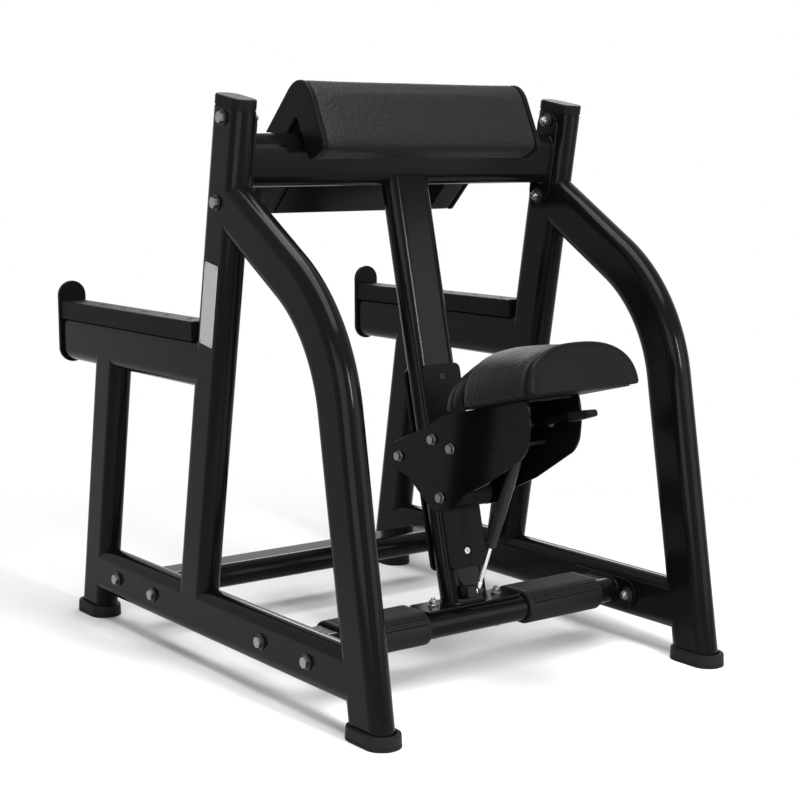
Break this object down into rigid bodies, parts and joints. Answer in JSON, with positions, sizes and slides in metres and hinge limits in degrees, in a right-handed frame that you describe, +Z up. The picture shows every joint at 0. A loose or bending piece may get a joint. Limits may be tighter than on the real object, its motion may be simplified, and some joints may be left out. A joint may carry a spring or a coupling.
{
  "type": "preacher bench",
  "caption": "Floor-standing preacher bench: side frames of flat-oval tube with bar-rest arms, a saddle-shaped forearm pad and a padded seat that slides along a leaning post.",
  "frame": {"origin": "on the floor, at the middle of the bench's bounding box in plan", "axes": "+Z up; the user sits at the -Y end and faces +Y, where the bar rests; +X is the user's right"},
  "size_m": [0.8468, 1.2398, 1.1192],
  "materials": {
    "frame_coat": "black powder coat, semi-gloss",
    "cylinder_paint": "black paint, satin",
    "boot_rubber": "matte",
    "grip_rubber": "matte, ribbed",
    "moulded_plastic": "matte",
    "guide_plastic": "low-friction, satin",
    "upholstery": "fine grain, charcoal",
    "zinc_hardware": "zinc plated",
    "rod_chrome": "polished",
    "badge_aluminium": "brushed, left bare"
  },
  "bodies": {
    "frame": {"arm_pad": "upholstery", "arm_pad_plate": "frame_coat", "badge_plate": "badge_aluminium", "foot_crossbar": "frame_coat", "foot_left_bolts": "zinc_hardware", "foot_right_bolts": "zinc_hardware", "front_guide_screw": "zinc_hardware", "front_guide_strip": "guide_plastic", "left_arm_end_plate": "frame_coat", "left_base_rail": "frame_coat", "left_foot_grip": "grip_rubber", "left_front_foot": "boot_rubber", "left_front_leg": "frame_coat", "left_pad_bracket": "frame_coat", "left_rack_arm": "frame_coat", "left_rear_foot": "boot_rubber", "left_rear_leg": "frame_coat", "left_upright": "frame_coat", "left_upright_cap": "moulded_plastic", "left_wear_strip": "moulded_plastic", "post_base_bolts": "zinc_hardware", "rear_crossbar": "frame_coat", "rear_guide_screw": "zinc_hardware", "rear_guide_strip": "guide_plastic", "rear_left_bolts": "zinc_hardware", "rear_right_bolts": "zinc_hardware", "right_arm_end_plate": "frame_coat", "right_base_rail": "frame_coat", "right_foot_grip": "grip_rubber", "right_front_foot": "boot_rubber", "right_front_leg": "frame_coat", "right_pad_bracket": "frame_coat", "right_rack_arm": "frame_coat", "right_rear_foot": "boot_rubber", "right_rear_leg": "frame_coat", "right_upright": "frame_coat", "right_upright_cap": "moulded_plastic", "right_wear_strip": "moulded_plastic", "seat_post": "frame_coat", "spring_bracket": "frame_coat", "upper_crossbar": "frame_coat", "upper_left_bolts": "zinc_hardware", "upper_right_bolts": "zinc_hardware"},
    "seat_carriage": {"left_carriage_plate": "frame_coat", "right_carriage_plate": "frame_coat", "upper_roller_axle": "zinc_hardware", "lower_roller_axle": "zinc_hardware", "rear_roller_axle": "zinc_hardware", "spacer_bolt": "zinc_hardware", "seat_support_plate": "frame_coat", "seat_board": "moulded_plastic", "seat_pad": "upholstery"},
    "upper_roller": {"upper_guide_roller": "guide_plastic"},
    "lower_roller": {"lower_guide_roller": "guide_plastic"},
    "rear_roller": {"rear_guide_roller": "guide_plastic"},
    "lever": {"release_lever": "frame_coat", "lever_grip": "moulded_plastic"},
    "spring_rod": {"gas_rod": "rod_chrome"},
    "spring_cylinder": {"gas_cylinder": "cylinder_paint"}
  },
  "joints": [
    {"name": "seat_slide", "type": "slide", "parent": "frame", "child": "seat_carriage", "axis": [0, 0.234, 0.9722], "range_m": [-0.07, 0.1]},
    {"name": "upper_roller_spin", "type": "hinge", "parent": "seat_carriage", "child": "upper_roller", "pos_m": [0, -0.24465, 0.45068], "axis": [1, 0, 0], "range_deg": [-245, 172]},
    {"name": "lower_roller_spin", "type": "hinge", "parent": "seat_carriage", "child": "lower_roller", "pos_m": [0, -0.27064, 0.34266], "axis": [1, 0, 0], "range_deg": [-245, 172]},
    {"name": "rear_roller_spin", "type": "hinge", "parent": "seat_carriage", "child": "rear_roller", "pos_m": [0, -0.13844, 0.40393], "axis": [1, 0, 0], "range_deg": [-172, 245]},
    {"name": "lever_lift", "type": "hinge", "parent": "seat_carriage", "child": "lever", "pos_m": [0, -0.46594, 0.50516], "axis": [-1, 0, 0], "range_deg": [0, 8], "stiffness_Nm_per_rad": 3, "springref_deg": -8.59},
    {"name": "spring_swing", "type": "hinge", "parent": "frame", "child": "spring_rod", "pos_m": [0, -0.30399, 0.16092], "axis": [1, 0, 0], "range_deg": [-9.6, 6.7]},
    {"name": "spring_stroke", "type": "slide", "parent": "spring_rod", "child": "spring_cylinder", "axis": [0, -0.38, 0.925], "range_m": [-0.058, 0.083]}
  ],
  "couplings": [
    {"joint": "upper_roller_spin", "follows": "seat_slide", "rad_per_m": -42.553},
    {"joint": "lower_roller_spin", "follows": "seat_slide", "rad_per_m": -42.553},
    {"joint": "rear_roller_spin", "follows": "seat_slide", "rad_per_m": 42.553},
    {"joint": "spring_swing", "follows": "seat_slide", "rad_per_m": -1.6534},
    {"joint": "spring_stroke", "follows": "seat_slide", "ratio": 0.81307}
  ]
}
